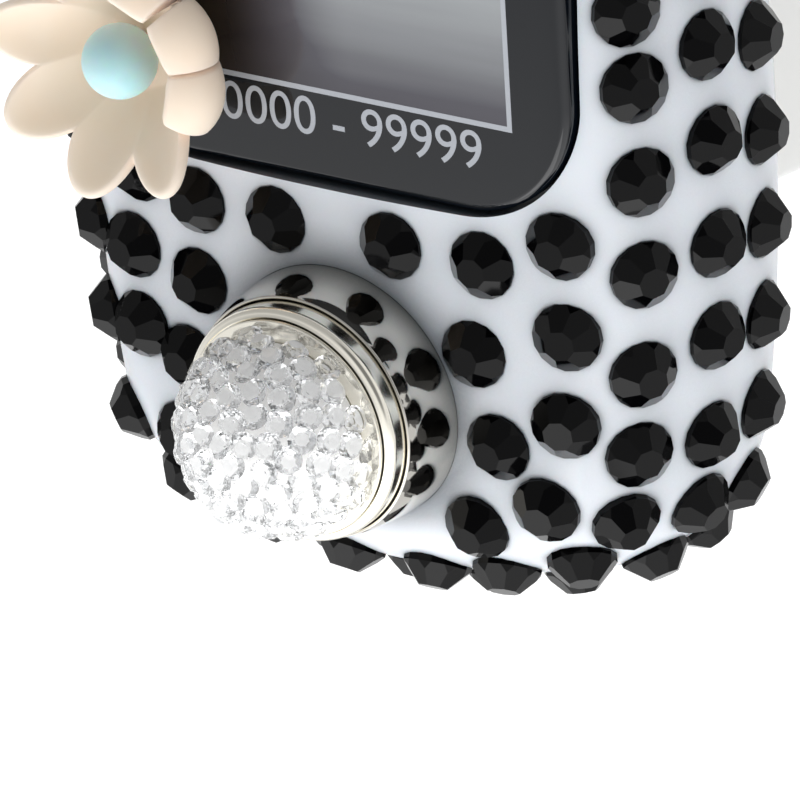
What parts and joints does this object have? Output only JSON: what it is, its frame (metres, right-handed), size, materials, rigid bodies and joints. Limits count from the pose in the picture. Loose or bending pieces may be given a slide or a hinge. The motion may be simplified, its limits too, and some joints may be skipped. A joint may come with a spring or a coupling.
{
  "type": "digital finger counter",
  "caption": "Pebble-shaped electronic tally counter set with black stones, with a display window, a crystal-topped push button, a flower ornament and a finger band.",
  "frame": {"origin": "centre of the bounding box in plan, at the flat underside of the finger band", "axes": "+Z is the way the display faces, +Y runs from the push button to the display, +X is to the right of the display"},
  "size_m": [0.031, 0.0409, 0.0387],
  "materials": {
    "white_case": "gloss white",
    "dark_window": "gloss, printed dark behind",
    "display_glass": "polished",
    "reflector_foil": "satin grey",
    "inner_plastic": "moulded",
    "zebra_rubber": "striped",
    "board": "solder mask",
    "black_resin": "cast",
    "capacitor_body": "fired",
    "steel": "plated",
    "chrome": "mirror",
    "chromed_plastic": "vacuum-plated mirror",
    "crystal": "faceted",
    "grey_rubber": "moulded",
    "carbon_rubber": "matte",
    "petal_resin": "matte translucent peach",
    "bead_resin": "satin pale blue",
    "band_silicone": "soft white"
  },
  "bodies": {
    "case": {"front_case": "white_case", "back_cover": "white_case", "window_lens": "dark_window", "lcd_front_glass": "display_glass", "lcd_rear_glass": "display_glass", "lcd_reflector": "reflector_foil", "lcd_holder": "inner_plastic", "zebra_strip": "zebra_rubber", "circuit_board": "board", "counter_chip": "black_resin", "chip_capacitor": "capacitor_body", "chip_resistor": "black_resin", "button_cell": "steel", "contact_negative": "steel", "contact_positive": "steel", "case_screw_1": "steel", "case_screw_2": "steel", "case_screw_3": "steel", "case_screw_4": "steel", "button_collar": "chrome", "rubber_dome": "grey_rubber", "flower": "petal_resin", "flower_bead": "bead_resin", "finger_band": "band_silicone", "band_pin_right": "steel", "band_pin_left": "steel"},
    "button": {"button_cap": "chromed_plastic", "crystal_dome": "crystal", "carbon_pill": "carbon_rubber"},
    "battery_hatch": {"battery_door": "white_case"}
  },
  "joints": [
    {"name": "button_press", "type": "slide", "parent": "case", "child": "button", "axis": [0, 0, -1], "range_m": [0, 0.0007], "stiffness_N_per_m": 800, "springref_m": -0.0006, "deforming": ["rubber_dome"]},
    {"name": "battery_door_slide", "type": "slide", "parent": "case", "child": "battery_hatch", "axis": [0, 1, 0], "range_m": [0, 0.0135]}
  ]
}
